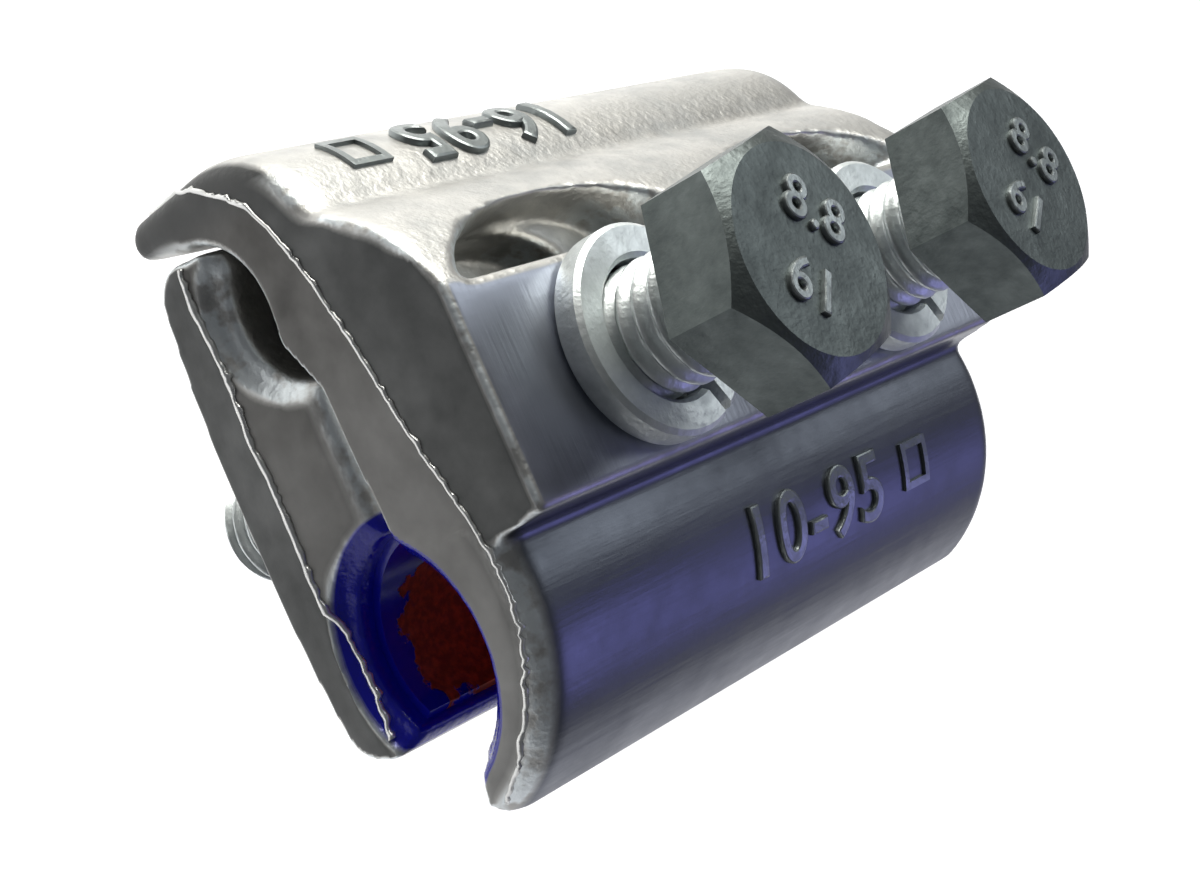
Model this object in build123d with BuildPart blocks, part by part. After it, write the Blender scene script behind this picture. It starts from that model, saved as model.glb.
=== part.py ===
from build123d import *
import os
from math import cos, sin, radians, sqrt

os.makedirs("parts", exist_ok=True)

# Two-bolt bimetal parallel groove clamp, millimetres.
# X runs along the conductors, +Y is the aluminium side, +Z runs up the bolts to the heads.
# The origin is on the axis of the aluminium groove, halfway between the bolts.

# bolts and hardware
bolt_d = 8.0
bolt_pitch = 25.0
bolt_length = 45.0
head_af = 13.0
head_h = 5.3
nut_h = 6.5
hole_d = 9.0
thread_play = 0.05
nut_play = 0.2
washer_wall = 2.15
washer_bore = 8.5
washer_t = 2.1
washer_gap = 0.9
head_gap = 5.9

# keepers: the section's width sets its height and walls, the pitch and the margin its length
section_w = 40.4
end_margin = 13.4
pad_inset = 0.2
seat_inset = 0.5
al_r = 5.0
al_front_play = 0.05
cu_back_r = 6.1
cu_front_r = 6.6
copper_t = 0.6
liner_inset = 2.4
mouth = 1.3
small_mouth = 0.4

# how far each head, and the split of each spring washer, is turned
near_turn = 11.5
far_turn = 9.0
split_turn = -66

# sizes that follow from those above
k = section_w / 40.4
bolt_y = -10.2 * k
seat_z = 11.7 * k
crown_half = bolt_pitch / 2 + end_margin
pad_half = crown_half - pad_inset
seat_half = pad_half - seat_inset
liner_half = crown_half - liner_inset
washer_r = washer_bore / 2 + washer_wall
disc_r = head_af * 0.465
corner = head_af / sqrt(3)
head_z = seat_z + washer_t + head_gap
nut_top = seat_z - 18.6 * k


# a point of the cross-section, measured across from the bolt row and up from the seat
def at(across, up):
    return (bolt_y + across * k, seat_z + up * k)


# groove axes in the cross-section
al_back = at(10.2, -11.7)
al_front = at(10.2, -17.6)
cu_back = at(-11.0, -11.2)
cu_front = at(-11.5, -15.3)
cu_crown_axis = at(-9.6, -16.0)
cu_crown_r = 12.8 * k
cu_crown_edge = 2.2 * k
crown_edge = 1.5 * k
bolts = [(-bolt_pitch / 2, bolt_y), (bolt_pitch / 2, bolt_y)]


# a groove with a rounded mouth at both ends, as a body of revolution to cut with
def groove_cutter(axis, radius, flare):
    inner = crown_half - flare
    outer = radius + flare
    far = crown_half + bolt_d
    with BuildPart() as cutter:
        with BuildSketch(Plane((0, axis[0], axis[1]), x_dir=(1, 0, 0), z_dir=(0, -1, 0))):
            with BuildLine():
                Polyline((0, 0), (0, radius), (inner, radius))
                RadiusArc((inner, radius), (crown_half, outer), flare)
                Polyline((crown_half, outer), (far, outer), (far, 0), (0, 0))
            make_face()
            mirror(about=Plane.YZ)
        revolve(axis=Axis((0, axis[0], axis[1]), (1, 0, 0)))
    return cutter.part


# --- front keeper: aluminium crown with the hooked lip ---
with BuildPart() as al_crown:
    with BuildSketch(Plane.YZ):
        with BuildLine():
            ThreePointArc(at(13.0, -6.6), at(17.5, -9.7), at(18.9, -15.0))
            Line(at(18.9, -15.0), at(18.7, -20.2))
            ThreePointArc(at(18.7, -20.2), at(17.7, -21.5), at(16.2, -21.2))
            Polyline(at(16.2, -21.2), at(15.0, -16.9), at(8.3, -13.14), at(13.0, -6.6))
        make_face()
    extrude(amount=crown_half, both=True)
    rims = al_crown.edges().filter_by(lambda e: abs(abs(e.center().X) - crown_half) < 0.01)
    outer = rims.filter_by(lambda e: e.center().Y > at(15.4, 0)[0] and e.length > 4 * k)
    fillet(outer, radius=crown_edge)

# --- front keeper: copper crown with the long lip, its ends rounded about the crown's axis ---
with BuildPart() as cu_crown:
    with BuildSketch(Plane.YZ):
        with BuildLine():
            start = at(-7.3, -3.42)
            end = at(-21.0, -10.2)
            RadiusArc(start, end, -cu_crown_r)
            ThreePointArc(end, at(-21.4, -11.5), at(-20.3, -12.4))
            Polyline(at(-20.3, -12.4), at(-17.4, -11.4), at(-5.2, -10.9), at(-6.4, -4.6), start)
        make_face()
    extrude(amount=crown_half, both=True)
    with BuildSketch(Plane((0, cu_crown_axis[0], cu_crown_axis[1]), x_dir=(1, 0, 0), z_dir=(0, -1, 0))):
        with BuildLine():
            inner = crown_half - cu_crown_edge
            Polyline((0, 0), (crown_half, 0), (crown_half, cu_crown_r - cu_crown_edge))
            RadiusArc((crown_half, cu_crown_r - cu_crown_edge), (inner, cu_crown_r), -cu_crown_edge)
            Polyline((inner, cu_crown_r), (0, cu_crown_r), (0, 0))
        make_face()
        mirror(about=Plane.YZ)
    revolve(axis=Axis((0, cu_crown_axis[0], cu_crown_axis[1]), (1, 0, 0)), mode=Mode.INTERSECT)

# --- front keeper: the raised pad between the crowns, with its flat seat ---
with BuildPart() as front_keeper:
    with BuildSketch(Plane.YZ):
        with BuildLine():
            ThreePointArc(at(13.0, -6.6), at(10.1, -2.6), at(6.0, 0))
            Line(at(6.0, 0), at(-6.9, 0))
            Line(at(-6.9, 0), at(-7.3, -3.4))
            Polyline(at(-7.3, -3.4), at(-5.6, -10.9), at(4.5, -11.3), at(8.3, -13.14), at(13.0, -6.6))
        make_face()
    extrude(amount=pad_half, both=True)
    # draft on the end walls of the pad
    foot = at(0, -6.5)[1]
    with BuildSketch(Plane.XZ):
        with BuildLine():
            Polyline(
                (pad_half, foot),
                (seat_half, seat_z),
                (seat_half, seat_z + bolt_d),
                (pad_half + bolt_d, seat_z + bolt_d),
                (pad_half + bolt_d, foot),
                (pad_half, foot),
            )
        make_face()
        mirror(about=Plane.YZ)
    extrude(amount=section_w, both=True, mode=Mode.SUBTRACT)
    add(al_crown.part)
    add(cu_crown.part)
    # oval pocket with a flared rim beside each bolt, cut off by the seat
    shelf = at(6.0, -6.0)
    for x, y in bolts:
        with BuildPart(mode=Mode.PRIVATE) as pocket:
            with BuildSketch(Plane((x, shelf[0], shelf[1]))):
                Ellipse(8.2 * k, 3.9 * k)
            with BuildSketch(Plane((x, shelf[0], at(0, -3.0)[1]))):
                Ellipse(8.9 * k, 4.5 * k)
            with BuildSketch(Plane((x, shelf[0], seat_z))):
                Ellipse(11.4 * k, 7.0 * k)
            loft()
            with Locations((x, shelf[0] - section_w / 2, seat_z)):
                Box(section_w, section_w, section_w, mode=Mode.SUBTRACT)
        add(pocket.part, mode=Mode.SUBTRACT)
    # clearance holes for the bolts
    with Locations(*[(x, y, seat_z) for x, y in bolts]):
        Cylinder(hole_d / 2, 2 * section_w, mode=Mode.SUBTRACT)
    # copper groove with its liner bed, then the rounded mouths
    add(groove_cutter(cu_front, cu_front_r + copper_t, 2 * small_mouth), mode=Mode.SUBTRACT)
    add(groove_cutter(al_front, al_r + al_front_play, small_mouth), mode=Mode.SUBTRACT)
front_keeper.part.label = "front_keeper"

# --- back keeper ---
with BuildPart() as back_keeper:
    with BuildSketch(Plane.YZ) as back_section:
        with BuildLine():
            Polyline(at(14.46, -15.61), at(13.3, -15.4), at(5.5, -12.5), at(4.9, -11.9), at(-3.4, -11.9))
            Polyline(at(-3.4, -11.9), at(-5.2, -12.2), at(-14.0, -16.0))
            ThreePointArc(at(-14.0, -16.0), at(-15.6, -16.5), at(-16.3, -17.7))
            Line(at(-16.3, -17.7), at(-16.1, -19.2))
            ThreePointArc(at(-16.1, -19.2), at(-15.3, -20.8), at(-13.6, -21.5))
            ThreePointArc(at(-13.6, -21.5), at(0, -22.5), at(12.6, -21.3))
            ThreePointArc(at(12.6, -21.3), at(14.2, -20.6), at(14.9, -19.0))
            Line(at(14.9, -19.0), at(14.9, -17.6))
            ThreePointArc(at(14.9, -17.6), at(14.79, -16.6), at(14.46, -15.61))
        make_face()
    extrude(amount=crown_half, both=True)
    # draft both ways from the parting line, with a rounded front edge
    face = at(0, -11.9)[1]
    parting = at(0, -18.3)[1]
    under = at(0, -23.0)[1]
    with BuildSketch(Plane.XZ):
        with BuildLine():
            Polyline((0, under), (crown_half - 0.5 * k, under), (crown_half, parting))
            Line((crown_half, parting), (crown_half - 0.5 * k, face - 2.1 * k))
            RadiusArc((crown_half - 0.5 * k, face - 2.1 * k), (crown_half - 2.6 * k, face), -2.1 * k)
            Polyline((crown_half - 2.6 * k, face), (0, face), (0, under))
        make_face()
        mirror(about=Plane.YZ)
    extrude(amount=section_w, both=True, mode=Mode.INTERSECT)
    add(groove_cutter(cu_back, cu_back_r + copper_t, mouth), mode=Mode.SUBTRACT)
    add(groove_cutter(al_back, al_r, mouth), mode=Mode.SUBTRACT)
    # bolt holes, with a hexagonal pocket behind that keeps each nut from turning
    with Locations(*[(x, y, seat_z) for x, y in bolts]):
        Cylinder(hole_d / 2, 2 * section_w, mode=Mode.SUBTRACT)
    with BuildSketch(Plane.XY.offset(nut_top)):
        with Locations(*bolts):
            RegularPolygon((head_af + nut_play) / 2, 6, major_radius=False, rotation=0)
    extrude(amount=-section_w, mode=Mode.SUBTRACT)
back_keeper.part.label = "back_keeper"

# --- copper liners, pressed into the two copper grooves ---
with BuildPart() as back_copper_liner:
    with BuildSketch(Plane.YZ):
        with Locations(cu_back):
            Circle(cu_back_r + copper_t)
            Circle(cu_back_r, mode=Mode.SUBTRACT)
        with BuildLine():
            Polyline(
                cu_back,
                (cu_back[0] + section_w * cos(radians(7.5)), cu_back[1] - section_w * sin(radians(7.5))),
                (cu_back[0] + section_w, cu_back[1] - 2 * section_w),
                (cu_back[0] - section_w, cu_back[1] - 2 * section_w),
                (cu_back[0] - section_w * cos(radians(54)), cu_back[1] - section_w * sin(radians(54))),
                cu_back,
            )
        make_face(mode=Mode.INTERSECT)
    extrude(amount=liner_half, both=True)
back_copper_liner.part.label = "back_copper_liner"

with BuildPart() as front_copper_liner:
    with BuildSketch(Plane.YZ):
        with Locations(cu_front):
            Circle(cu_front_r + copper_t)
            Circle(cu_front_r, mode=Mode.SUBTRACT)
        with BuildLine():
            Polyline(cu_front, at(-4.0, -7.8), at(-4.0, 0), at(-20, 0), at(-20.0, -8.0), cu_front)
        make_face(mode=Mode.INTERSECT)
    extrude(amount=liner_half, both=True)
front_copper_liner.part.label = "front_copper_liner"


# --- bolt with a chamfered hexagon head ---
def hex_bolt():
    rim = corner * 1.02
    with BuildPart() as bolt:
        with BuildSketch():
            RegularPolygon(head_af / 2, 6, major_radius=False)
        extrude(amount=head_h)
        # the 30 degree chamfer that rounds the top of the hexagon
        with BuildSketch(Plane.XZ):
            with BuildLine():
                Polyline(
                    (0, 0),
                    (rim, 0),
                    (rim, head_h - (rim - disc_r) * 0.62),
                    (disc_r, head_h),
                    (0, head_h),
                    (0, 0),
                )
            make_face()
        revolve(axis=Axis.Z, mode=Mode.INTERSECT)
        with BuildSketch():
            Circle(bolt_d / 2)
        extrude(amount=-bolt_length)
        tip = bolt.edges().sort_by(Axis.Z)[0]
        chamfer(tip, length=bolt_d * 0.11)
    return bolt.part


# --- split spring washer ---
def spring_washer():
    with BuildPart() as washer:
        with BuildSketch():
            Circle(washer_r)
            Circle(washer_bore / 2, mode=Mode.SUBTRACT)
        extrude(amount=washer_t)
        rims = washer.edges().filter_by(GeomType.CIRCLE)
        chamfer(rims, length=washer_t * 0.14)
        # the slanting split
        with BuildSketch(Plane.YZ):
            with BuildLine():
                Polyline(
                    (-washer_gap, -washer_t),
                    (0, -washer_t),
                    (washer_gap, 2 * washer_t),
                    (0, 2 * washer_t),
                    (-washer_gap, -washer_t),
                )
            make_face()
        extrude(amount=washer_r * 2, mode=Mode.SUBTRACT)
    return washer.part


# --- hexagon nut, threaded bore as a plain running fit ---
def hex_nut():
    rim = corner * 1.02
    with BuildPart() as nut:
        with BuildSketch():
            RegularPolygon(head_af / 2, 6, major_radius=False)
            Circle(bolt_d / 2 + thread_play, mode=Mode.SUBTRACT)
        extrude(amount=nut_h)
        with BuildSketch(Plane.XZ):
            with BuildLine():
                Polyline(
                    (0, 0),
                    (disc_r, 0),
                    (rim, (rim - disc_r) * 0.62),
                    (rim, nut_h - (rim - disc_r) * 0.62),
                    (disc_r, nut_h),
                    (0, nut_h),
                    (0, 0),
                )
            make_face()
        revolve(axis=Axis.Z, mode=Mode.INTERSECT)
    return nut.part


with BuildPart() as near_bolt:
    with Locations(Location((bolts[0][0], bolts[0][1], head_z), (0, 0, near_turn))):
        add(hex_bolt())
near_bolt.part.label = "near_bolt"

with BuildPart() as far_bolt:
    with Locations(Location((bolts[1][0], bolts[1][1], head_z), (0, 0, far_turn))):
        add(hex_bolt())
far_bolt.part.label = "far_bolt"

with BuildPart() as near_washer:
    with Locations(Location((bolts[0][0], bolts[0][1], seat_z), (0, 0, split_turn))):
        add(spring_washer())
near_washer.part.label = "near_washer"

with BuildPart() as far_washer:
    with Locations(Location((bolts[1][0], bolts[1][1], seat_z), (0, 0, split_turn))):
        add(spring_washer())
far_washer.part.label = "far_washer"

with BuildPart() as near_nut:
    with Locations(Location((bolts[0][0], bolts[0][1], nut_top - nut_h))):
        add(hex_nut())
near_nut.part.label = "near_nut"

with BuildPart() as far_nut:
    with Locations(Location((bolts[1][0], bolts[1][1], nut_top - nut_h))):
        add(hex_nut())
far_nut.part.label = "far_nut"

pieces = [
    front_keeper, back_keeper, front_copper_liner, back_copper_liner, near_bolt,
    far_bolt, near_washer, far_washer, near_nut, far_nut,
]
for piece in pieces:
    solid = piece.part
    print(solid.label, solid.is_valid, len(solid.solids()), round(solid.volume, 1))
    export_step(solid, "parts/" + solid.label + ".step")
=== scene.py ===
from math import cos, pi, radians, sin

import bmesh
import bpy
import numpy as np
from mathutils import Matrix, Vector, noise
from mathutils.bvhtree import BVHTree


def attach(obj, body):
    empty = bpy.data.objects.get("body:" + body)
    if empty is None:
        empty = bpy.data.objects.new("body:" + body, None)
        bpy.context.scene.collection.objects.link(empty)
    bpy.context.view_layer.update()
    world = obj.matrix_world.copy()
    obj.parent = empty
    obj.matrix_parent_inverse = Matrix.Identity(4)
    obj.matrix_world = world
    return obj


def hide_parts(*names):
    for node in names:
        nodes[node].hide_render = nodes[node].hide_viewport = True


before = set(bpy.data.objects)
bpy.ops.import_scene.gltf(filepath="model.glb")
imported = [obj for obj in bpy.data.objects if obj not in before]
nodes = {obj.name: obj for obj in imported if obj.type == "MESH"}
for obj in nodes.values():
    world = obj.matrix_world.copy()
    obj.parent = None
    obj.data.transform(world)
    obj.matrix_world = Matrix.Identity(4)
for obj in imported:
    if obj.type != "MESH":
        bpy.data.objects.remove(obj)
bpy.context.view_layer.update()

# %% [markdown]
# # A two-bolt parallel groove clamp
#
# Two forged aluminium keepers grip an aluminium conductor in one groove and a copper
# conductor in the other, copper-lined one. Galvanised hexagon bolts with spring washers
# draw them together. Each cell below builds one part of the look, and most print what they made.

MM = 0.001
scene = bpy.context.scene

bolt_pitch = 25.0 * MM
bolt_y = -10.2 * MM
seat_z = 11.7 * MM
cu_back = Vector((0.0, -21.2 * MM, 0.5 * MM))
cu_front = Vector((0.0, -21.7 * MM, -3.6 * MM))
cu_crown = Vector((0.0, -19.8 * MM, -4.3 * MM))
cu_crown_r = 12.8 * MM
al_crown = Vector((0.0, 0.857 * MM, -2.537 * MM))
al_crown_r = 7.88 * MM
head_h = 5.3 * MM
bolt_x = {"near": -bolt_pitch / 2, "far": bolt_pitch / 2}


def section_point(across, up, x=0.0):
    """A point given across from the bolt row and up from the washer seat, in millimetres."""
    return Vector((x * MM, bolt_y + across * MM, seat_z + up * MM))


def add_object(name, mesh):
    """A new object at the origin that shows mesh."""
    obj = bpy.data.objects.new(name, mesh)
    scene.collection.objects.link(obj)
    return obj


def bake_modifiers(obj):
    """Replaces the object's mesh by what its modifiers give."""
    graph = bpy.context.evaluated_depsgraph_get()
    baked = bpy.data.meshes.new_from_object(obj.evaluated_get(graph))
    obj.modifiers.clear()
    obj.data = baked
    return obj


def report(obj):
    """Prints a piece's name, its triangles and its size in millimetres."""
    triangles = sum(len(p.vertices) - 2 for p in obj.data.polygons)
    size = [round(v / MM, 1) for v in obj.dimensions]
    print(obj.name, triangles, "triangles", size, "mm")


# %% [markdown]
# ## Materials
#
# The clamp is forged aluminium with galvanised bolts, and its copper groove is coated blue.
# The finishes could be painted as images. They are built from noise on the object's own
# coordinates instead, so they need no unwrapping and stay put when a piece moves.

# %% Shader helpers
def new_material(name):
    """A material with its node tree, its shader and its Object coordinates."""
    material = bpy.data.materials.new(name)
    material.use_nodes = True
    tree = material.node_tree
    shader = next(n for n in tree.nodes if n.type == "BSDF_PRINCIPLED")
    coords = tree.nodes.new("ShaderNodeTexCoord")
    return material, tree, shader, coords.outputs["Object"]


def add_noise(tree, vector, scale, detail=4.0, roughness=0.55):
    """A noise texture's value on the given coordinates."""
    node = tree.nodes.new("ShaderNodeTexNoise")
    node.inputs["Scale"].default_value = scale
    node.inputs["Detail"].default_value = detail
    node.inputs["Roughness"].default_value = roughness
    tree.links.new(vector, node.inputs["Vector"])
    return node.outputs["Fac"]


def add_range(tree, value, low, high, out_low=0.0, out_high=1.0):
    """Maps value from low..high to out_low..out_high, held at both ends."""
    node = tree.nodes.new("ShaderNodeMapRange")
    node.inputs["From Min"].default_value = low
    node.inputs["From Max"].default_value = high
    node.inputs["To Min"].default_value = out_low
    node.inputs["To Max"].default_value = out_high
    tree.links.new(value, node.inputs["Value"])
    return node.outputs["Result"]


def add_math(tree, operation, a, b=None):
    """One Math node on two sockets or numbers."""
    node = tree.nodes.new("ShaderNodeMath")
    node.operation = operation
    for value, socket in zip((a, b), node.inputs):
        if value is None:
            continue
        if isinstance(value, (int, float)):
            socket.default_value = value
        else:
            tree.links.new(value, socket)
    return node.outputs["Value"]


def times(tree, a, b):
    """The product of two sockets or numbers."""
    return add_math(tree, "MULTIPLY", a, b)


def plus(tree, a, b):
    """The sum of two sockets or numbers."""
    return add_math(tree, "ADD", a, b)


def add_mix(tree, factor, a, b):
    """A colour mix of two sockets or colours."""
    node = tree.nodes.new("ShaderNodeMix")
    node.data_type = "RGBA"
    tree.links.new(factor, node.inputs["Factor"])
    for value, socket in ((a, node.inputs[6]), (b, node.inputs[7])):
        if isinstance(value, tuple):
            socket.default_value = (*value, 1.0)
        else:
            tree.links.new(value, socket)
    return node.outputs[2]


def add_bump(tree, heights, shader):
    """A chain of Bump nodes, one for each (height, distance in mm, strength)."""
    normal = None
    for height, distance, strength in heights:
        node = tree.nodes.new("ShaderNodeBump")
        node.inputs["Distance"].default_value = distance * MM
        node.inputs["Strength"].default_value = strength
        tree.links.new(height, node.inputs["Height"])
        if normal is not None:
            tree.links.new(normal, node.inputs["Normal"])
        normal = node.outputs["Normal"]
    tree.links.new(normal, shader.inputs["Normal"])


def split_vector(tree, vector):
    """The X, Y and Z sockets of a vector."""
    node = tree.nodes.new("ShaderNodeSeparateXYZ")
    tree.links.new(vector, node.inputs[0])
    return node.outputs


def axis_distance(tree, xyz, axis):
    """The distance from an axis that runs along X."""
    across = add_math(tree, "SUBTRACT", xyz[1], axis.y)
    up = add_math(tree, "SUBTRACT", xyz[2], axis.z)
    squares = plus(tree, times(tree, across, across), times(tree, up, up))
    return add_math(tree, "SQRT", squares)


def normal_socket(tree):
    """The surface's own normal, in object space."""
    geometry = tree.nodes.new("ShaderNodeNewGeometry")
    turn = tree.nodes.new("ShaderNodeVectorTransform")
    turn.vector_type = "NORMAL"
    turn.convert_from = "WORLD"
    turn.convert_to = "OBJECT"
    tree.links.new(geometry.outputs["Normal"], turn.inputs[0])
    return split_vector(tree, turn.outputs[0])


def stretched(tree, vector, factors):
    """Coordinates scaled by a factor on each axis."""
    node = tree.nodes.new("ShaderNodeVectorMath")
    node.operation = "MULTIPLY"
    tree.links.new(vector, node.inputs[0])
    node.inputs[1].default_value = factors
    return node.outputs[0]


coat_blue = (0.004, 0.006, 0.46)


# %% Zinc-coated steel and bare worn metal
def make_grainy_metal(name, dark, light, rough):
    """Grainy metal, clouded between a dark and a light tone."""
    material, tree, shader, coords = new_material(name)
    shader.inputs["Metallic"].default_value = 0.9
    cloud = add_noise(tree, coords, 300.0)
    speck = add_noise(tree, coords, 900.0, detail=3.0)
    grain = add_noise(tree, coords, 2600.0, detail=2.0)
    tone = plus(tree, times(tree, cloud, 0.6), times(tree, speck, 0.4))
    colour = add_mix(tree, add_range(tree, tone, 0.3, 0.7), dark, light)
    tree.links.new(colour, shader.inputs["Base Color"])
    tree.links.new(add_range(tree, tone, 0.35, 0.65, rough + 0.06, rough - 0.06), shader.inputs["Roughness"])
    add_bump(tree, [(cloud, 0.2, 0.3), (speck, 0.1, 0.5), (grain, 0.05, 0.7)], shader)
    return material


# %% Forged aluminium
def make_aluminium(name, groove, groove_r):
    """Forged aluminium: painted shade on the end faces, a painted highlight on their edges, a milled seat
    and a blue-coated groove.
    """
    material, tree, shader, coords = new_material(name)
    xyz = split_vector(tree, coords)
    normal = normal_socket(tree)
    side_on = add_math(tree, "ABSOLUTE", normal[0])
    cloud = add_noise(tree, coords, 150.0)
    mottle = add_noise(tree, coords, 620.0, detail=3.0)
    grain = add_noise(tree, coords, 2300.0, detail=3.0)
    tone = plus(tree, cloud, times(tree, add_math(tree, "SUBTRACT", mottle, 0.5), 0.5))
    base = add_mix(tree, add_range(tree, tone, 0.25, 0.75), (0.40, 0.405, 0.40), (0.64, 0.63, 0.60))
    # painted shade: the end faces are darkened, most of all outside the flash line, and inside it the shade
    # lightens towards the copper groove's side
    end_face = add_range(tree, side_on, 0.86, 0.97)
    spots = add_range(tree, tone, 0.2, 0.8)
    outer = add_mix(tree, spots, (0.075, 0.078, 0.078), (0.115, 0.118, 0.118))
    painted_shade_gradient = add_range(tree, xyz[1], bolt_y + 12.0 * MM, bolt_y - 16.0 * MM)
    painted_shade_and_spots = plus(tree, times(tree, painted_shade_gradient, 0.75), times(tree, spots, 0.25))
    inner = add_mix(tree, painted_shade_and_spots, (0.085, 0.083, 0.080), (0.25, 0.25, 0.245))
    side_of_line = tree.nodes.new("ShaderNodeAttribute")
    side_of_line.attribute_name = "outer"
    base = add_mix(tree, end_face, base, add_mix(tree, side_of_line.outputs["Fac"], inner, outer))
    # painted highlight on their rounded edges, broken up by noise, apart from the hook beside the aluminium
    # groove, which gets painted shade
    edge = times(tree, add_range(tree, side_on, 0.25, 0.5), add_range(tree, side_on, 0.93, 0.8))
    painted_edge_highlight = times(tree, edge, add_range(tree, mottle, 0.38, 0.52))
    hook = add_range(tree, xyz[1], bolt_y + 14.5 * MM, bolt_y + 16.5 * MM)
    painted_edge_highlight = times(tree, painted_edge_highlight, add_math(tree, "SUBTRACT", 1.0, hook))
    painted_hook_shade = times(tree, add_range(tree, side_on, 0.35, 0.65), hook)
    base = add_mix(tree, painted_hook_shade, base, (0.09, 0.092, 0.092))
    base = add_mix(tree, painted_edge_highlight, base, (0.80, 0.85, 0.87))
    # the seat and the copper crown are smooth, with streaks along the way they were worked
    at_seat = add_range(tree, xyz[2], seat_z - 0.5 * MM, seat_z - 0.3 * MM)
    flat = times(tree, add_range(tree, normal[2], 0.975, 0.99), at_seat)
    ring = add_range(tree, axis_distance(tree, xyz, cu_crown), cu_crown_r - 0.9 * MM, cu_crown_r - 0.4 * MM)
    crown = times(tree, ring, add_range(tree, xyz[1], bolt_y - 6.4 * MM, bolt_y - 7.2 * MM))
    crown = times(tree, crown, add_range(tree, side_on, 0.5, 0.2))
    worked = add_math(tree, "MAXIMUM", flat, crown)
    milled = add_noise(tree, stretched(tree, coords, (1.0, 0.05, 1.0)), 2400.0, detail=2.0)
    drawn = add_noise(tree, stretched(tree, coords, (0.06, 1.0, 1.0)), 1500.0, detail=3.0)
    # the seat's bluish tint is a painted reflection of the violet light, and the copper crown's dark bluish
    # tone is painted shade with that painted reflection
    base = add_mix(tree, flat, base, (0.36, 0.38, 0.44))
    base = add_mix(tree, crown, base, (0.15, 0.162, 0.19))
    # the coat lies inside the groove and on its rounded mouths
    inside = add_range(tree, axis_distance(tree, xyz, groove), groove_r + 1.35 * MM, groove_r + 1.15 * MM)
    off_end = add_range(tree, side_on, 0.985, 0.96)
    coat = times(tree, inside, off_end)
    base = add_mix(tree, coat, base, coat_blue)
    tree.links.new(base, shader.inputs["Base Color"])
    tree.links.new(add_range(tree, coat, 0.0, 1.0, 1.0, 0.0), shader.inputs["Metallic"])
    rough = add_range(tree, tone, 0.3, 0.7, 0.50, 0.40)
    rough = add_math(tree, "SUBTRACT", rough, times(tree, worked, 0.06))
    rough = plus(tree, rough, times(tree, end_face, 0.08))
    rough = times(tree, rough, add_range(tree, coat, 0.0, 1.0, 1.0, 0.45))
    tree.links.new(rough, shader.inputs["Roughness"])
    smooth_part = add_math(tree, "MAXIMUM", worked, times(tree, end_face, 0.8))
    rest = add_math(tree, "SUBTRACT", 1.0, times(tree, smooth_part, 0.85))
    lumps = times(tree, mottle, rest)
    grit = times(tree, grain, rest)
    streaks = plus(tree, times(tree, milled, flat), times(tree, drawn, crown))
    add_bump(tree, [(lumps, 0.22, 0.35), (grit, 0.06, 0.7), (streaks, 0.03, 0.8)], shader)
    return material


# %% Copper under a blue coat
def make_copper(name, axis, low, high):
    """Dull copper, bare between two angles of the groove and coated blue round that patch."""
    material, tree, shader, coords = new_material(name)
    xyz = split_vector(tree, coords)
    ragged = add_noise(tree, coords, 420.0, detail=4.0)
    fine = add_noise(tree, coords, 1800.0, detail=3.0)
    reach = plus(tree, add_math(tree, "ABSOLUTE", xyz[0]), times(tree, ragged, 6.0 * MM))
    ends = add_range(tree, reach, 24.9 * MM, 25.1 * MM)
    # the angle round the groove, from straight down
    across = add_math(tree, "SUBTRACT", xyz[1], axis.y)
    down = add_math(tree, "SUBTRACT", axis.z, xyz[2])
    angle = add_math(tree, "ARCTAN2", across, down)
    angle = plus(tree, angle, times(tree, add_math(tree, "SUBTRACT", ragged, 0.5), 0.9))
    below = add_range(tree, angle, radians(low) + 0.03, radians(low))
    above = add_range(tree, angle, radians(high) - 0.03, radians(high))
    coat = add_math(tree, "MAXIMUM", ends, add_math(tree, "MAXIMUM", below, above))
    bare = add_mix(tree, add_range(tree, fine, 0.4, 0.65), (0.30, 0.035, 0.010), (0.52, 0.075, 0.022))
    colour = add_mix(tree, coat, bare, coat_blue)
    tree.links.new(colour, shader.inputs["Base Color"])
    tree.links.new(add_range(tree, coat, 0.0, 1.0, 0.25, 0.0), shader.inputs["Metallic"])
    tree.links.new(add_range(tree, coat, 0.0, 1.0, 0.7, 0.2), shader.inputs["Roughness"])
    add_bump(tree, [(coat, 0.12, 0.6), (ragged, 0.1, 0.4)], shader)
    return material


# the raised digits share one mid-grey tone instead of their carrier's metal: painted shade on the aluminium
# crown, painted highlight on the copper crown and the heads
number_shade_and_highlight = make_grainy_metal("number_shade_and_highlight", (0.20, 0.22, 0.22), (0.34, 0.37, 0.37), 0.38)
zinc = make_grainy_metal("zinc_steel", (0.072, 0.085, 0.085), (0.135, 0.155, 0.152), 0.44)
bright_zinc = make_grainy_metal("bright_zinc", (0.52, 0.56, 0.56), (0.82, 0.86, 0.86), 0.46)
# the flash beads' bright tone is a painted highlight along their ridges
bead_highlight_metal = make_grainy_metal("bead_highlight_metal", (0.72, 0.73, 0.72), (0.92, 0.92, 0.90), 0.30)
front_metal = make_aluminium("front_aluminium", cu_front, 7.2 * MM)
back_metal = make_aluminium("back_aluminium", cu_back, 6.7 * MM)
back_copper = make_copper("back_copper", cu_back, -40.0, 48.0)
front_copper = make_copper("front_copper", cu_front, -400.0, 400.0)
metals = (zinc, bright_zinc, number_shade_and_highlight, bead_highlight_metal, front_metal, back_metal, back_copper, front_copper)
print("materials:", [m.name for m in metals])
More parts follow.
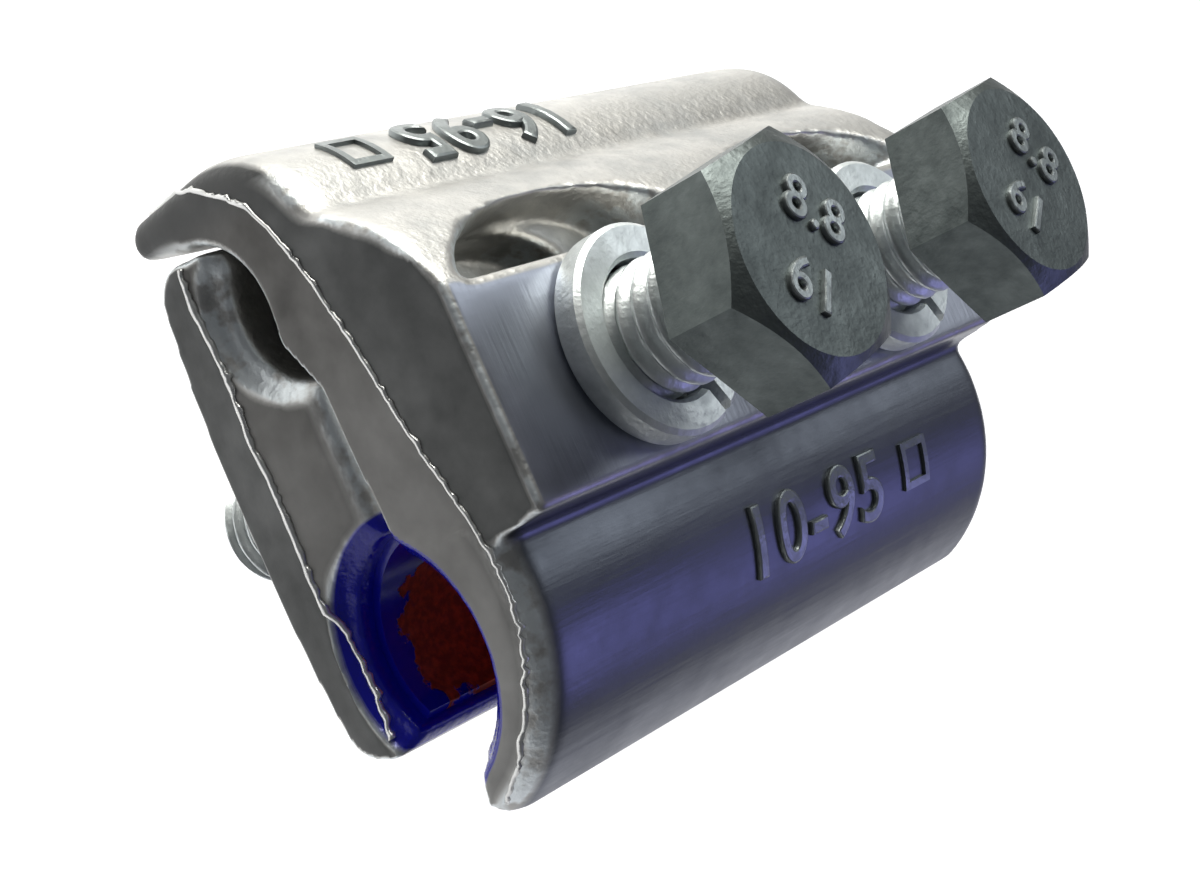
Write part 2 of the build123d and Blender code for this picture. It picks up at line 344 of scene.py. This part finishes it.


# %% [markdown]
# ## Keepers
#
# A forging has soft edges, and its end faces take a painted shade that changes at the line where the dies
# met.
# Each edge could be bevelled by hand. Here each keeper starts from its solid, and a fine
# remesh with a little smoothing softens all of it at once, whatever its section. The copy is
# cut first, where the pockets run deeper than the solid's.

# %% Flash lines across each end face, as (across, up)
front_flash = [
    (18.6, -20.3), (18.5, -16.3), (18.0, -14.7), (17.2, -13.2), (16.2, -11.8), (14.9, -10.4),
    (13.6, -9.6), (12.2, -9.1), (10.5, -8.6), (8.7, -8.1), (5.9, -7.4), (3.5, -6.9),
    (0.9, -6.4), (-1.3, -5.9), (-3.5, -5.3), (-5.4, -4.8), (-7.4, -4.4), (-9.8, -4.2),
    (-12.2, -4.6), (-14.4, -5.5), (-16.6, -6.9), (-18.6, -8.6), (-20.6, -11.2),
]
back_flash = [
    (14.6, -18.0), (12.1, -18.3), (9.0, -18.1), (6.8, -18.0), (3.6, -18.3), (1.4, -18.1),
    (-1.1, -18.1), (-3.3, -18.2), (-6.2, -18.3), (-8.3, -18.3), (-11.0, -18.4), (-13.4, -18.3),
    (-15.3, -17.9),
]


def read_outer(mesh, line, sign):
    """Each point's x and across place in mm, and 1 outside a flash line or 0 inside it."""
    coords = np.empty(len(mesh.vertices) * 3)
    mesh.vertices.foreach_get("co", coords)
    coords = coords.reshape(-1, 3) / MM
    across = coords[:, 1] - bolt_y / MM
    up = coords[:, 2] - seat_z / MM
    known = np.array(sorted(line))
    level = np.interp(across, known[:, 0], known[:, 1])
    outer = np.clip((up - level) * sign / 0.4 + 0.5, 0.0, 1.0)
    if sign > 0:
        outer[(across < -21.0) | (across > 18.4)] = 1.0
    return coords[:, 0], across, outer


# the end rounding fades in from this distance from the middle, over this width, in mm
rounding_start = 22.8
rounding_width = 1.4


def round_ends(obj, line, sign, least_across, rounds):
    """Rounds the worn edges of both end faces on one side of the flash line."""
    along, across, outer = read_outer(obj.data, line, sign)
    side = outer if sign > 0 else 1.0 - outer
    near_end = np.clip((np.abs(along) - rounding_start) / rounding_width, 0.0, 1.0)
    weight = near_end * np.clip(across - least_across, 0.0, 1.0) * side
    group = obj.vertex_groups.new(name="ends")
    for index in np.nonzero(weight > 0.0)[0]:
        group.add([int(index)], float(weight[index]), "REPLACE")
    rounding = obj.modifiers.new("Round", "SMOOTH")
    rounding.vertex_group = "ends"
    rounding.factor = 0.5
    rounding.iterations = rounds
    bake_modifiers(obj)
    outer = read_outer(obj.data, line, sign)[2]
    obj.data.attributes.new("outer", "FLOAT", "POINT").data.foreach_set("value", outer)


# %% Soften the forgings
# the pockets' deep bottoms, in mm: their near side, depth across, half length, and shift along x
pocket_across = 6.1
pocket_reach = 3.3
pocket_half = 6.6
pocket_shift = -2.4
pocket_levels = (-2.2, -9.6)
pocket_points = 33


def pocket_cutter():
    """The deep oval bottoms of the two pockets, flat on the side towards the seat."""
    shape = bmesh.new()
    for x in bolt_x.values():
        rings = []
        for up in pocket_levels:
            ring = []
            for step in range(pocket_points):
                angle = pi * step / (pocket_points - 1)
                across = pocket_across + pocket_reach * sin(angle)
                along = x / MM + pocket_shift + pocket_half * cos(angle)
                ring.append(shape.verts.new(section_point(across, up, along)))
            rings.append(ring)
        high, low = rings
        shape.faces.new(high)
        shape.faces.new(list(reversed(low)))
        for i in range(pocket_points):
            j = (i + 1) % pocket_points
            shape.faces.new((high[j], high[i], low[i], low[j]))
    bmesh.ops.recalc_face_normals(shape, faces=shape.faces)
    mesh = bpy.data.meshes.new("pocket_cutter")
    shape.to_mesh(mesh)
    shape.free()
    return add_object("pocket_cutter", mesh)


def forge(node, body, voxel, rounds, material, ends, cutter=None):
    """A soft-edged copy of a solid, which stands for it."""
    obj = add_object("forged_" + node, nodes[node].data.copy())
    if cutter is not None:
        carve = obj.modifiers.new("Carve", "BOOLEAN")
        carve.operation = "DIFFERENCE"
        carve.solver = "EXACT"
        carve.object = cutter
    remesh = obj.modifiers.new("Remesh", "REMESH")
    remesh.mode = "VOXEL"
    remesh.voxel_size = voxel
    soften = obj.modifiers.new("Smooth", "SMOOTH")
    soften.factor = 0.5
    soften.iterations = rounds
    bake_modifiers(obj)
    if cutter is not None:
        bpy.data.objects.remove(cutter)
    round_ends(obj, *ends)
    obj.data.materials.clear()
    obj.data.materials.append(material)
    obj.data.polygons.foreach_set("use_smooth", [True] * len(obj.data.polygons))
    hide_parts(node)
    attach(obj, body)
    report(obj)
    return obj


front = forge("front_keeper", "front", 0.32 * MM, 5, front_metal, (front_flash, 1, 8.0, 34), pocket_cutter())
back = forge("back_keeper", "back", 0.30 * MM, 4, back_metal, (back_flash, -1, -7.0, 18))

# %% [markdown]
# ## Flash lines
#
# The forging dies leave a thin, ragged line of metal across each end face. It could be a bump
# in the material, but from close by it stands out in silhouette. So it is a real bead: rays
# cast at the keeper find the end face, and a small ring of points is set at each hit.

# %% Flash beads
def walk(points, step):
    """Points along a polyline, evenly spaced by about step millimetres."""
    places = [section_point(a, u) / MM for a, u in points]
    path = []
    for start, end in zip(places, places[1:]):
        count = max(1, round((end - start).length / step))
        path += [start.lerp(end, i / count) for i in range(count)]
    return path + [places[-1]]


bead_sides = 8
least_end = 23.5


def add_bead(shape, path, side, surface, size, seed):
    """A ragged bead, size mm in radius, along path on the end face at side -1 or 1."""
    rings = []
    for i, place in enumerate(path):
        ragged = noise.noise(Vector((place.y * 0.9, place.z * 0.9, seed)))
        fine = noise.noise(Vector((place.y * 3.1, place.z * 3.1, seed + 7.0)))
        shifted = Vector((0.0, place.y + 0.22 * ragged, place.z + 0.22 * fine)) * MM
        hit = surface.ray_cast(Vector((side * 40 * MM, shifted.y, shifted.z)), Vector((-side, 0, 0)))[0]
        if hit is None or abs(hit.x) < least_end * MM:
            continue
        radius = size * (1.0 + 0.6 * fine + 0.3 * ragged) * MM
        ahead = path[min(i + 1, len(path) - 1)] - path[max(i - 1, 0)]
        along = Vector((0.0, ahead.y, ahead.z)).normalized()
        across = along.cross(Vector((1, 0, 0)))
        ring = []
        for step in range(bead_sides):
            angle = 2 * pi * step / bead_sides
            outward = Vector((side * radius * sin(angle), 0, 0))
            ring.append(shape.verts.new(hit + across * radius * cos(angle) + outward))
        rings.append(ring)
    for first, second in zip(rings, rings[1:]):
        for step in range(bead_sides):
            other = (step + 1) % bead_sides
            shape.faces.new((first[step], first[other], second[other], second[step]))
    shape.faces.new(list(reversed(rings[0])))
    shape.faces.new(rings[-1])


def make_flash(name, points, keeper, body, size, seed):
    """The beads on both end faces of a keeper, as one piece."""
    keeper_tree = BVHTree.FromObject(keeper, bpy.context.evaluated_depsgraph_get())
    shape = bmesh.new()
    for side in (-1, 1):
        add_bead(shape, walk(points, 0.3), side, keeper_tree, size, seed + side)
    bmesh.ops.recalc_face_normals(shape, faces=shape.faces)
    mesh = bpy.data.meshes.new(name)
    shape.to_mesh(mesh)
    shape.free()
    obj = add_object(name, mesh)
    # the bead's bright tone is a painted highlight
    mesh.materials.append(bead_highlight_metal)
    mesh.polygons.foreach_set("use_smooth", [True] * len(mesh.polygons))
    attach(obj, body)
    report(obj)
    return obj


bpy.context.view_layer.update()
make_flash("front_flash", front_flash, front, "front", 0.16, 3.0)
make_flash("back_flash", back_flash, back, "back", 0.24, 11.0)

# %% [markdown]
# ## Bolts, nuts and washers
#
# The shank carries an M8 thread, which the plain solid leaves out. A helix could be swept
# along a curve. Here each ring of points gets its radius from a formula of its angle and
# depth, which closes the crest and root into one skin and gives the tip its chamfer.

# %% Threaded bolts
thread_pitch = 1.25 * MM
major_r = 3.98 * MM
minor_r = 3.38 * MM
bolt_length = 45.0 * MM
head_z = seat_z + 8.0 * MM


def thread_radius(angle, depth):
    """The radius of the thread at an angle and a depth below the head."""
    phase = (depth / thread_pitch - angle / (2 * pi)) % 1.0
    wave = abs(2.0 * phase - 1.0)
    crest = min(1.0, max(0.0, (wave - 0.12) / 0.72))
    radius = minor_r + (major_r - minor_r) * crest
    tip = bolt_length - depth
    return min(radius, 3.1 * MM + tip)


def add_thread(target, centre, steps=56, rings=10):
    """Adds the threaded shank to a bmesh, hanging from the head's underside."""
    count = int(bolt_length / thread_pitch * rings)
    previous = None
    for ring in range(count + 1):
        depth = bolt_length * ring / count
        row = []
        for step in range(steps):
            angle = 2 * pi * step / steps
            radius = thread_radius(angle, depth)
            place = (centre.x + radius * cos(angle), centre.y + radius * sin(angle), centre.z - depth)
            row.append(target.verts.new(place))
        if previous is not None:
            for step in range(steps):
                other = (step + 1) % steps
                target.faces.new((previous[other], previous[step], row[step], row[other]))
        previous = row
    target.faces.new(list(reversed(previous)))


def make_bolt(side):
    """The head of the solid bolt with a threaded shank in place of its plain one."""
    node = side + "_bolt"
    shape = bmesh.new()
    shape.from_mesh(nodes[node].data)
    low = [v for v in shape.verts if v.co.z < head_z - 0.02 * MM]
    bmesh.ops.delete(shape, geom=low, context="VERTS")
    head = bpy.data.meshes.new(node + "_head")
    shape.to_mesh(head)
    shape.free()
    shank = bmesh.new()
    shank.from_mesh(head)
    add_thread(shank, Vector((bolt_x[side], bolt_y, head_z + 0.1 * MM)))
    shank.to_mesh(head)
    shank.free()
    obj = add_object("threaded_" + node, head)
    obj.data.materials.clear()
    obj.data.materials.append(zinc)
    obj.data.materials.append(bright_zinc)
    for polygon in obj.data.polygons:
        polygon.material_index = 1 if polygon.center.z < head_z - 0.02 * MM else 0
    obj.data.polygons.foreach_set("use_smooth", [True] * len(obj.data.polygons))
    obj.data.set_sharp_from_angle(angle=radians(32))
    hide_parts(node)
    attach(obj, side + "_screw")
    report(obj)
    return obj


for side in bolt_x:
    make_bolt(side)

# %% Nuts, washers and liners keep their solids
for node in ("near_washer", "far_washer", "near_nut", "far_nut"):
    nodes[node].data.materials.clear()
    nodes[node].data.materials.append(bright_zinc)
for node, material in (("front_copper_liner", front_copper), ("back_copper_liner", back_copper)):
    nodes[node].data.materials.clear()
    nodes[node].data.materials.append(material)
print("solids kept:", sorted(n for n in nodes if not n.endswith(("keeper", "bolt"))))

# %% [markdown]
# ## Raised numbers
#
# Plain numbers stand on the two crowns and on the heads. They could be wrapped by a modifier.
# Each is made flat and its points are moved by a rule for its carrier, a cylinder or a turned
# plane, because the rule is exact and also serves the square outlines.

# %% Raised numbers
def number_mesh(text, height, depth):
    """A solid made from plain digits, height tall along Y and depth thick along Z, centred."""
    curve = bpy.data.curves.new("digits", "FONT")
    curve.body = text
    curve.size = height / 0.7
    curve.extrude = depth / 2
    curve.bevel_depth = depth * 0.35
    curve.bevel_resolution = 1
    curve.align_x = "CENTER"
    curve.align_y = "CENTER"
    curve.space_character = 1.12
    holder = bpy.data.objects.new("digits", curve)
    scene.collection.objects.link(holder)
    bpy.context.view_layer.update()
    graph = bpy.context.evaluated_depsgraph_get()
    mesh = bpy.data.meshes.new_from_object(holder.evaluated_get(graph))
    bpy.data.objects.remove(holder)
    return mesh


def raise_relief(name, shape, place, body, material):
    """A piece from a flat bmesh whose every point goes where place(along, across, out) says."""
    long_edges = [e for e in shape.edges if e.calc_length() > 0.9 * MM]
    bmesh.ops.subdivide_edges(shape, edges=long_edges, cuts=3, use_grid_fill=True)
    for vertex in shape.verts:
        vertex.co = place(vertex.co.x, vertex.co.y, vertex.co.z)
    bmesh.ops.recalc_face_normals(shape, faces=shape.faces)
    mesh = bpy.data.meshes.new(name)
    shape.to_mesh(mesh)
    shape.free()
    obj = add_object(name, mesh)
    mesh.materials.append(material)
    mesh.polygons.foreach_set("use_smooth", [True] * len(mesh.polygons))
    mesh.set_sharp_from_angle(angle=radians(40))
    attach(obj, body)
    report(obj)
    return obj


def raised_number(name, text, height, depth, place, body, material):
    """Raised digits."""
    shape = bmesh.new()
    shape.from_mesh(number_mesh(text, height, depth))
    return raise_relief(name, shape, place, body, material)


def square_mark(name, width, bar, depth, place, body, material):
    """A raised square outline."""
    shape = bmesh.new()
    loops = []
    for out, reach in ((-depth, width), (depth, width), (depth, width - 2 * bar), (-depth, width - 2 * bar)):
        corners = [(-reach, -reach), (reach, -reach), (reach, reach), (-reach, reach)]
        loops.append([shape.verts.new((x / 2, y / 2, out / 2)) for x, y in corners])
    for first, second in zip(loops, loops[1:] + loops[:1]):
        for i in range(4):
            j = (i + 1) % 4
            shape.faces.new((first[i], first[j], second[j], second[i]))
    return raise_relief(name, shape, place, body, material)


def on_crown(centre, radius, middle, x_middle, sense=1):
    """A placing rule for a crown that is round about an axis along X.

    middle is in degrees from up, and a sense of -1 turns the digits about.
    """
    def place(along, across, out):
        angle = radians(middle) + sense * across / radius
        reach = radius + out
        y = centre.y + reach * sin(angle)
        z = centre.z + reach * cos(angle)
        return Vector((x_middle + sense * along, y, z))
    return place


def on_head(side, turn, shift):
    """A placing rule for a bolt head's flat top, shifted along the turned Y axis."""
    def place(along, across, out):
        x, y = along, across + shift
        c, s = cos(turn), sin(turn)
        return Vector((bolt_x[side] + x * c - y * s, bolt_y + x * s + y * c, head_z + head_h + out))
    return place


raised_number("copper_range", "10-95", 4.4 * MM, 0.4 * MM,
              on_crown(cu_crown, cu_crown_r - 0.05 * MM, -19.5, 1.6 * MM), "front", number_shade_and_highlight)
square_mark("copper_square", 3.2 * MM, 0.5 * MM, 0.5 * MM,
            on_crown(cu_crown, cu_crown_r - 0.05 * MM, -18.0, 14.0 * MM), "front", number_shade_and_highlight)
raised_number("aluminium_range", "16-95", 4.0 * MM, 0.6 * MM,
              on_crown(al_crown, al_crown_r - 0.1 * MM, 44.0, -7.2 * MM, -1), "front", number_shade_and_highlight)
square_mark("aluminium_square", 3.2 * MM, 0.5 * MM, 0.7 * MM,
            on_crown(al_crown, al_crown_r - 0.1 * MM, 44.0, -18.4 * MM, -1), "front", number_shade_and_highlight)
for side, turn in (("near", -38.0), ("far", -50.0)):
    raised_number(side + "_grade", "8.8", 2.5 * MM, 0.35 * MM,
                  on_head(side, radians(turn), 2.3 * MM), side + "_screw", number_shade_and_highlight)
    raised_number(side + "_lot", "61", 2.5 * MM, 0.35 * MM,
                  on_head(side, radians(turn), -2.5 * MM), side + "_screw", number_shade_and_highlight)

# %% [markdown]
# ## Studio
#
# A pale floor lies far below the clamp. One warm key light, one top light and a weak violet
# one shape it. The white ground could come from strong lamps, which would burn out the metal,
# so the floor glows a little instead, and only where it is looked at.

# %% Floor, lights and background
floor_z = -90.0 * MM
floor_mesh = bpy.data.meshes.new("floor")
floor_half = 3.0
floor_glow = 0.45
corners = [(-1, -1), (1, -1), (1, 1), (-1, 1)]
floor_mesh.from_pydata([(x * floor_half, y * floor_half, floor_z) for x, y in corners], [], [(0, 1, 2, 3)])
floor = add_object("floor", floor_mesh)
floor_material, floor_tree, floor_shader = new_material("floor")[:3]
floor_shader.inputs["Base Color"].default_value = (0.9, 0.9, 0.9, 1.0)
floor_shader.inputs["Roughness"].default_value = 0.9
# the floor looks white to the camera and in the metal, and still takes the shadow
floor_shader.inputs["Emission Color"].default_value = (1.0, 1.0, 1.0, 1.0)
rays = floor_tree.nodes.new("ShaderNodeLightPath")
seen = add_math(floor_tree, "MAXIMUM", rays.outputs["Is Camera Ray"], rays.outputs["Is Glossy Ray"])
seen = add_math(floor_tree, "MAXIMUM", seen, rays.outputs["Is Transmission Ray"])
floor_tree.links.new(times(floor_tree, seen, floor_glow), floor_shader.inputs["Emission Strength"])
floor_mesh.materials.append(floor_material)


def add_area_light(name, place, size, power, colour):
    """A square softbox that points at the clamp."""
    lamp = bpy.data.lights.new(name, "AREA")
    lamp.size = size
    lamp.energy = power
    lamp.color = colour
    obj = bpy.data.objects.new(name, lamp)
    scene.collection.objects.link(obj)
    obj.location = place
    obj.rotation_euler = (-Vector(place)).to_track_quat("-Z", "Y").to_euler()
    return obj


add_area_light("key", (0.12, 0.50, 0.30), 0.45, 5.0, (1.0, 0.985, 0.93))
add_area_light("top", (0.42, 0.10, 0.45), 0.30, 0.60, (0.92, 0.97, 1.0))
add_area_light("violet_fill", (0.42, -0.34, 0.26), 0.25, 0.32, (0.40, 0.38, 1.0))

world = bpy.data.worlds.new("studio")
scene.world = world
world.use_nodes = True
room = next(n for n in world.node_tree.nodes if n.type == "BACKGROUND")
room.inputs["Color"].default_value = (0.80, 0.82, 0.86, 1.0)
room.inputs["Strength"].default_value = 0.12

# %% [markdown]
# ## Camera
#
# The camera stands above the near end and looks down along the conductors. It could track
# an empty. Its two axes are written out instead, because they were measured that way.

# %% Camera
camera_data = bpy.data.cameras.new("camera")
camera = bpy.data.objects.new("camera", camera_data)
scene.collection.objects.link(camera)
scene.camera = camera
camera_data.lens = 59.156
camera_data.sensor_width = 36.0
camera_data.clip_start = 0.01
right = Vector((0.6146, -0.4050, 0.6770)).normalized()
up = Vector((0.2450, 0.9137, 0.3242)).normalized()
away = right.cross(up)
turn = Matrix((right, up, away)).transposed().to_4x4()
camera.matrix_world = Matrix.Translation(Vector((-98.68, -18.43, 82.02)) * MM) @ turn
scene.view_settings.view_transform = "Standard"
print("camera at", [round(v / MM, 1) for v in camera.location], "mm")
